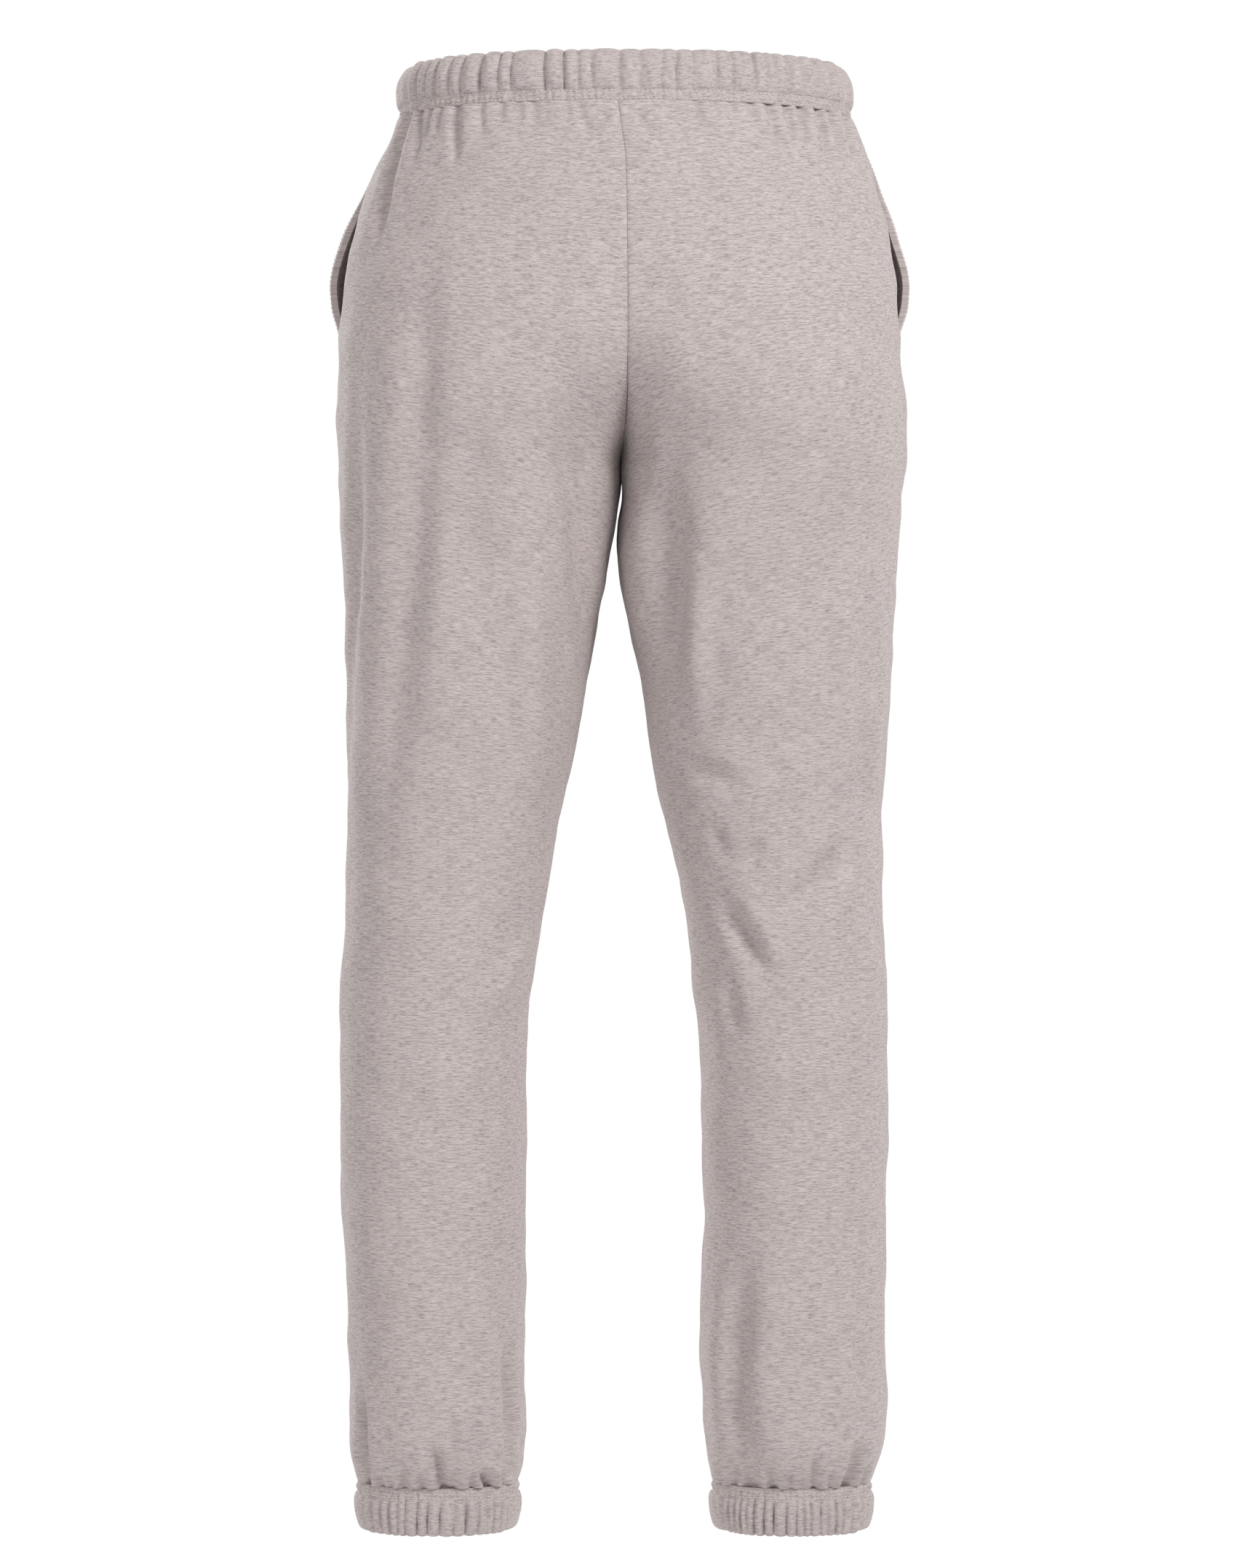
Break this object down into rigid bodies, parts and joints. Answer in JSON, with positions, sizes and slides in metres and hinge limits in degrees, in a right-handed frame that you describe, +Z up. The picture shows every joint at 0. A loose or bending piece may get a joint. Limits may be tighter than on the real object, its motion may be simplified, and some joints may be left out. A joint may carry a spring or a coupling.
{
  "type": "jogger sweatpants",
  "caption": "Melange grey jogger sweatpants, filled out and open at waist and ankles, with gathered elastic waistband, side seam pockets and gathered elastic cuffs",
  "frame": {"origin": "the middle of the waistband's ring, half way up the casing, where the wearer's waist holds the trousers up", "axes": "+Z up along the body, +Y towards the back, +X towards the wearer's left"},
  "size_m": [0.4057, 0.2428, 1.02],
  "materials": {
    "melange_knit": "melange sweatshirt knit, warm pinkish grey, brushed inside",
    "casing_knit": "the same knit, turned over and gathered on elastic, two rows of stitching",
    "pocket_knit": "the same knit in a lighter weight, inside the side seams"
  },
  "bodies": {
    "root": {"waistband": "casing_knit", "back_left": "melange_knit", "front_left": "melange_knit", "pocket_left": "pocket_knit", "cuff_left": "casing_knit", "back_right": "melange_knit", "front_right": "melange_knit", "pocket_right": "pocket_knit", "cuff_right": "casing_knit"}
  },
  "joints": []
}
